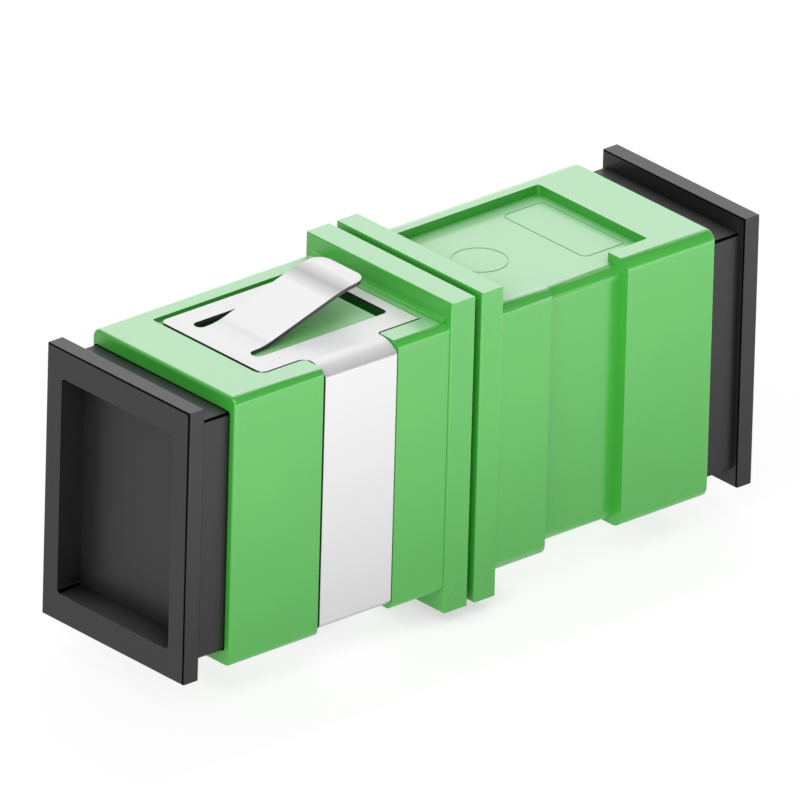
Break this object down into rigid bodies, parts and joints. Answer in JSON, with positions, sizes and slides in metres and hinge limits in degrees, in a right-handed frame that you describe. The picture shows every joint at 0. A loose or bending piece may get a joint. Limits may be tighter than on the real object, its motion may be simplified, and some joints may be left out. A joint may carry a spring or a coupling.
{
  "type": "sc fibre adapter",
  "caption": "Simplex fibre adapter: two-part green housing with a short flange, a sprung metal panel clip, a latch and sleeve inside, and a black dust cap in each end.",
  "frame": {"origin": "on the optical axis, in the plane where the two housing halves meet, which is the centre of the whole part", "axes": "+X along the optical axis towards the half without the clip, +Y across the narrow way towards the key slots, +Z along the tall way"},
  "size_m": [0.033, 0.0096, 0.0158],
  "materials": {
    "green_plastic": "satin moulded",
    "insert_plastic": "natural moulded",
    "ceramic": "ground ceramic",
    "spring_steel": "bright rolled",
    "cap_plastic": "soft satin moulded"
  },
  "bodies": {
    "adapter": {"housing_front": "green_plastic", "housing_rear": "green_plastic", "latch_insert_front": "insert_plastic", "latch_insert_rear": "insert_plastic", "alignment_sleeve": "ceramic", "mounting_clip": "spring_steel"},
    "front_cap": {"dust_cap_front": "cap_plastic"},
    "rear_cap": {"dust_cap_rear": "cap_plastic"}
  },
  "joints": [
    {"name": "dust_cap_front_pull", "type": "slide", "parent": "adapter", "child": "front_cap", "axis": [-1, 0, 0], "range_m": [0, 0.01]},
    {"name": "dust_cap_rear_pull", "type": "slide", "parent": "adapter", "child": "rear_cap", "axis": [1, 0, 0], "range_m": [0, 0.01]}
  ]
}
